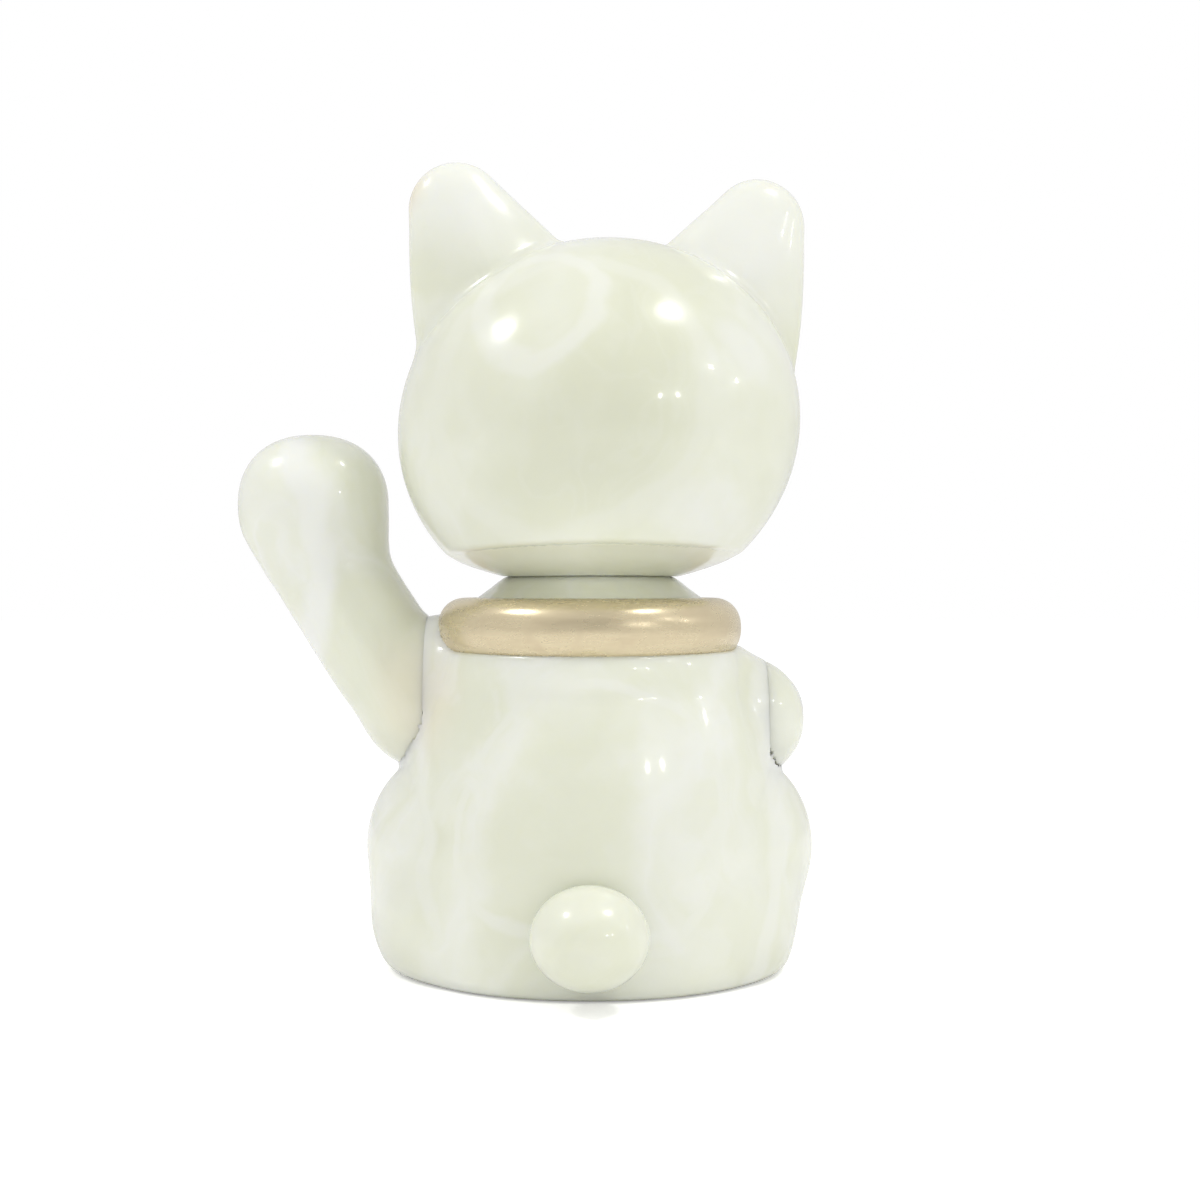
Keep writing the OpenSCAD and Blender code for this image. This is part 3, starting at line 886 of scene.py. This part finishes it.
bell_brass = brass("brass_bell")
bell_fields = {"bell_upper": bell_upper_field, "bell_lower": bell_lower_field, "bell_loop": bell_loop_field}
for node, field in bell_fields.items():
    dress(shell_mesh(node + "_shell", field, *box_mm(node), FINE_CELL), "bell", "brass", bell_brass, node)
dress(shell_mesh("bell_eye", bell_eye_field, *box_mm("bell_staple"), FINE_CELL), "body", "brass",
      brass("brass_eye"), "bell_staple")

# ---------------------------------------------------------------- coin
COIN_MID = (coin_low + coin_high) / 2
COIN_HALF = (coin_high - coin_low)[[0, 2]].astype(np.float32) / 2
COIN_FRONT = coin_low[1]
COIN_T = 2.4
COIN_RIM = 1.5
COIN_FIELD = COIN_FRONT + 0.5         # the sunk face inside the rim
PANEL_HALF = (5.0, 8.4)
STROKE_ROW = 1.15
STROKE_STEP = 1.8
STROKE_R = 0.26
BAR_HALF, BAR_R, BAR_PITCH = 3.2, 0.5, 5.6
PEG_R = 2.5


def oval(x, z):
    """The coin's outline, about its middle."""
    q = np.stack([x, z], 1).astype(np.float32) / COIN_HALF
    k0, k1 = length(q), length(q / COIN_HALF)
    return k0 * (k0 - 1) / np.maximum(k1, 1e-6)


def chisel_strokes(x, z, panel, inside):
    """Rows of short strokes between the rim and the panel, each row a half step along from the last."""
    row = np.abs(((z / STROKE_ROW) % 1) - 0.5) * STROKE_ROW
    step = (((x + STROKE_STEP / 2 * np.floor(z / STROKE_ROW)) / STROKE_STEP) % 1 - 0.5) * STROKE_STEP
    strokes = np.hypot(np.maximum(np.abs(step) - 0.5, 0), row * 1.4) - STROKE_R
    return np.maximum(np.maximum(strokes, 0.5 - panel), inside + 0.4)


def panel_lines(x, y, z, panel):
    """The panel's frame and the three bars in it."""
    lines = np.maximum(np.abs(panel) - 0.28, COIN_FIELD - 0.3 - y)
    for i in (-1, 0, 1):
        dash = np.hypot(np.maximum(np.abs(x) - BAR_HALF, 0), z - i * BAR_PITCH) - BAR_R
        lines = np.minimum(lines, np.maximum(dash, COIN_FIELD - 0.4 - y))
    return np.maximum(lines, y - COIN_FIELD - 0.4)


def coin_field(p):
    """An oval coin: raised rim, rows of chisel strokes, and a panel with three bars."""
    x, y, z = p[:, 0] - COIN_MID[0], p[:, 1], p[:, 2] - COIN_MID[2]
    edge = oval(x, z)
    inside = edge + COIN_RIM
    panel = np.maximum(np.abs(x) - PANEL_HALF[0], np.abs(z) - PANEL_HALF[1])
    d = blend_max(edge, np.maximum(COIN_FRONT - y, y - COIN_FRONT - COIN_T), 0.6)
    d = blend_max(d, -np.maximum(inside, y - COIN_FIELD), 0.35)
    d = blend_max(d, -np.maximum(chisel_strokes(x, z, panel, inside), y - COIN_FIELD - 0.14), 0.1)
    d = blend_min(d, panel_lines(x, y, z, panel), 0.25)
    peg = np.maximum(np.hypot(x, z) - PEG_R, np.maximum(COIN_FRONT + 1 - y, y - coin_high[1]))
    return np.minimum(d, peg)


dress(shell_mesh("coin_plate", coin_field, coin_low, coin_high, FINE_CELL), "body", "gold_paint",
      gilded("gold_coin", 2.0), "coin")

# ---------------------------------------------------------------- paw pads and painted face
FILM = 0.22           # how far paint stands out of the shell
SUNK = 0.3            # how far it reaches into it
INK = rgb(28, 26, 25)
ROSE = rgb(214, 150, 142)


def pads_field(p):
    """One three-lobed pad under three toe pads, on the raised paw's palm."""
    pads = ellipsoid(p, LEFT_PAW + vec(0, -11.6, -4.6), vec(4.6, 2.6, 3.2))
    for i in (-1, 1):
        pads = blend_min(pads, ellipsoid(p, LEFT_PAW + vec(i * 2.7, -11.2, -6.1), vec(2.4, 2.4, 2.2)), 1.5)
    for i in (-1, 0, 1):
        toe = ellipsoid(p, LEFT_PAW + vec(i * 5.4, -12.6, 1.4 - 1.2 * abs(i)), vec(1.9, 1.5, 2.3))
        pads = np.minimum(pads, toe)
    skin = left_arm_skin(p)
    return blend_max(blend_max(pads, -skin - SUNK, 0.1), skin - 0.9, 0.5)


pads_low, pads_high = box_mm("left_paw_pads")
paw_pads = shell_mesh("paw_pads", pads_field, pads_low - vec(3, 2, 2), pads_high + vec(3, 1, 6), FINE_CELL)
dress(paw_pads, "raised_arm", "pink_paint", painted("rose_pads", ROSE, rgb(226, 172, 162)), "left_paw_pads")


def stroke(x, z, points, width):
    """A brush stroke through flat points, tapering to both ends."""
    radii = [0.55 * width] + [width] * (len(points) - 2) + [0.3 * width]
    path = smooth_path([(a, 0, b) for a, b in points], radii)
    return limb(np.stack([x, np.zeros_like(x), z], 1), path)


def spot(x, z, middle_x, middle_z, half_x, half_z):
    """A flat oval."""
    u, v = (x - middle_x) / half_x, (z - middle_z) / half_z
    k = np.hypot(u, v)
    return k * (k - 1) / np.maximum(np.hypot(u / half_x, v / half_z), 1e-6)


EYE_X, EYE_Z = 11, 91
NOSE_Z = 85.6
SMILE_Z = 82


def eye_shape(side):
    return lambda x, z: spot(x, z, side * EYE_X, EYE_Z, 3.1, 3.6)


def nose_shape(x, z):
    top = spot(x, z, 0, NOSE_Z + 0.6, 2.9, 1.5)
    return blend_min(top, spot(x, z, 0, NOSE_Z - 0.8, 1.2, 1.3), 1.6)


def mouth_shape(x, z):
    d = stroke(x, z, [(0, SMILE_Z + 2.2), (0, SMILE_Z + 1.2), (0, SMILE_Z)], 0.5)
    for side in (-1, 1):
        curl = [(side * a, SMILE_Z - drop) for a, drop in ((0, 0), (1.3, 1.9), (3.4, 2.3), (5.2, 0.9))]
        d = np.minimum(d, stroke(x, z, curl, 0.5))
    return d


def whisker_shape(x, z):
    strokes = []
    for side in (-1, 1):
        for rise in (-3.2, 0, 3.2):
            heights = (83 + rise * 0.8, 83.3 + rise, 83 + rise * 1.35)
            points = [(side * out, up) for out, up in zip((15.5, 19.5, 23.8), heights)]
            strokes.append(stroke(x, z, points, 0.55))
    return np.minimum.reduce(strokes)


def glint_shape(x, z):
    return np.minimum(*[spot(x, z, side * EYE_X + 1.0, EYE_Z + 1.3, 0.85, 0.95) for side in (-1, 1)])


def film_field(shape, film=FILM):
    """A coat of paint on the front of the head, inside a flat outline given in the head's own frame."""
    def field(p):
        q = turned(p, HEAD_TURN, 2)
        skin = head_skin(q)
        coat = np.maximum(skin - film, -skin - SUNK)
        return np.maximum(blend_max(coat, shape(q[:, 0], q[:, 2]), 0.18), q[:, 1])
    return field


def film_piece(name, shape, low, high, material, slot, *nodes, film=FILM):
    coat = shell_mesh(name, film_field(shape, film), low, high, FINE_CELL * 0.8)
    return dress(coat, "head", slot, material, *nodes)


def wider(node, by=3):
    """A node's box, let out all round, in mm."""
    low, high = box_mm(node)
    return low - by, high + by


ink = painted("ink_paint", INK, rgb(46, 42, 40))
rose = painted("rose_nose", ROSE, rgb(196, 122, 116))
white = painted("white_glint", rgb(240, 240, 236), rgb(226, 226, 222))
for side, node in ((1, "left_eye"), (-1, "right_eye")):
    film_piece(node + "_paint", eye_shape(side), *box_mm(node), ink, "black_paint", node)
film_piece("nose_paint", nose_shape, *box_mm("nose"), rose, "pink_paint", "nose")
film_piece("mouth_paint", mouth_shape, *wider("mouth"), ink, "black_paint", "mouth")
film_piece("whisker_paint", whisker_shape, *wider("whiskers"), ink, "black_paint", "whiskers")
film_piece("eye_glints", glint_shape, vec(-14, -26, 88), vec(18, -16, 95), white, None, film=FILM + 0.12)


def inner_ear_field(side):
    """Gold paint in the hollow of an ear, inside a leaf-shaped outline."""
    def field(p):
        q = turned(p, HEAD_TURN, 2)
        skin = head_skin(q)
        e = in_ear(q, side)
        leaf = limb(e * vec(1, 0, 1), [(0, 0, -0.5, 3.6), (0, 0, -6, 5.6), (0, 0, -11.5, 5.9)])
        coat = np.maximum(skin - FILM, -skin - SUNK)
        return np.maximum(blend_max(coat, leaf, 0.2), e[:, 1] + 1)
    return field


for side, node in ((1, "left_inner_ear"), (-1, "right_inner_ear")):
    inner_ear = shell_mesh(node + "_paint", inner_ear_field(side), *wider(node, 2), FINE_CELL)
    dress(inner_ear, "head", "gold_paint", gilded("gold_" + node, 3.0 + side), node)

# ---------------------------------------------------------------- carried-over CAD nodes
for name, material in (("base_plug", marbled("marble_base", 6.0)), ("bell_pellet", steel("steel_pellet"))):
    kept = frame["nodes"][name]
    kept.data.materials.clear()
    kept.data.materials.append(material)


# ---------------------------------------------------------------- stage, light and camera
def paper():
    """White paper that also glows a little to the camera, so it runs into the backdrop."""
    n = Nodes("paper_floor")
    tone = n.mix(n.noise(n.add("ShaderNodeTexCoord"), 900.0), rgb(250, 250, 250), rgb(252, 252, 252))
    glow = n.product(n.add("ShaderNodeLightPath"), 0.34)
    return n.set(Base_Color=tone, Roughness=0.9, Specular_IOR_Level=0.1, Emission_Color=(1.0, 1.0, 1.0, 1.0),
                 Emission_Strength=glow)


FLOOR_HALF = 3000
FLOOR_Z = -0.02
corners = [(x * FLOOR_HALF, y * FLOOR_HALF, FLOOR_Z) for x, y in ((-1, -1), (1, -1), (1, 1), (-1, 1))]
floor = mesh_object("floor", corners, [(0, 1, 2, 3)])
floor.data.materials.append(paper())


def white_room():
    """A room that is white to the camera and dims towards the camera's side as a light."""
    world = bpy.data.worlds.new("white_room")
    bpy.context.scene.world = world
    world.use_nodes = True
    tree = world.node_tree
    back = tree.nodes["Background"]
    where = tree.nodes.new("ShaderNodeTexCoord")
    toward = tree.nodes.new("ShaderNodeVectorMath")
    toward.operation = "DOT_PRODUCT"
    toward.inputs[1].default_value = (0.0, 0.995, 0.10)
    tree.links.new(where.outputs["Generated"], toward.inputs[0])
    fall = tree.nodes.new("ShaderNodeMapRange")
    fall.interpolation_type = "SMOOTHSTEP"
    tree.links.new(toward.outputs["Value"], fall.inputs[0])
    for key, value in {1: 0.72, 2: 0.985, 3: 0.74, 4: 0.36}.items():
        fall.inputs[key].default_value = value
    path = tree.nodes.new("ShaderNodeLightPath")
    plain = tree.nodes.new("ShaderNodeMath")
    plain.operation = "MAXIMUM"
    tree.links.new(fall.outputs[0], plain.inputs[0])
    tree.links.new(path.outputs["Is Camera Ray"], plain.inputs[1])
    tree.links.new(plain.outputs[0], back.inputs["Strength"])
    back.inputs["Color"].default_value = (1.0, 1.0, 1.0, 1.0)


white_room()
LAMP_AWAY = 0.9
FACING_BACK = (math.pi / 2, 0, math.pi)       # a camera or beam behind the cat that looks along -Y


def lamp(name, toward, size, watts):
    """A round lamp that faces the figure from the direction given."""
    data = bpy.data.lights.new(name, "AREA")
    data.shape = "DISK"
    data.size = size
    data.energy = watts
    obj = bpy.data.objects.new(name, data)
    bpy.context.scene.collection.objects.link(obj)
    target = Vector((0, 0, 0.08))
    obj.location = target + Vector(toward).normalized() * LAMP_AWAY
    obj.rotation_euler = (obj.location - target).to_track_quat("Z", "Y").to_euler()
    return obj


lamp("lamp_left", (0.61, 0.20, 0.77), 0.09, 1.8)
lamp("lamp_right", (-0.47, 0.23, 0.85), 0.12, 2.1)
lamp("fill", (0.0, 1.0, -0.03), 0.4, 0.8).visible_glossy = False
sparks = [(-0.81, 0.38, 0.44), (-0.94, 0.17, 0.32), (-0.53, 0.82, 0.23), (-0.65, 0.72, 0.23)]
for number, toward in enumerate(sparks):
    lamp(f"spark_{number}", toward, 0.035, 0.12)


def neck_fill():
    """A narrow soft beam into the shade between the head and the collar."""
    data = bpy.data.lights.new("neck_fill", "SPOT")
    data.spot_size = math.radians(1.7)
    data.spot_blend = 1.0
    data.shadow_soft_size = 0.01
    data.energy = 8
    obj = bpy.data.objects.new("neck_fill", data)
    bpy.context.scene.collection.objects.link(obj)
    obj.location = (0, LAMP_AWAY, 0.0615)
    obj.rotation_euler = FACING_BACK
    obj.visible_glossy = False


neck_fill()

CAMERA_AWAY = 0.306
CAMERA_UP = 0.0635
PICTURE_WIDE = 0.2    # how much of the plane through the origin the picture takes in
camera = bpy.data.objects.new("camera", bpy.data.cameras.new("camera"))
bpy.context.scene.collection.objects.link(camera)
camera.location = (0, CAMERA_AWAY, CAMERA_UP)
camera.rotation_euler = FACING_BACK
camera.data.sensor_width = 36
camera.data.lens = camera.data.sensor_width * CAMERA_AWAY / PICTURE_WIDE
camera.data.shift_x = 0.00875
camera.data.shift_y = -0.0125
camera.data.clip_start = 0.01
bpy.context.scene.camera = camera
bpy.context.scene.view_settings.view_transform = "Standard"
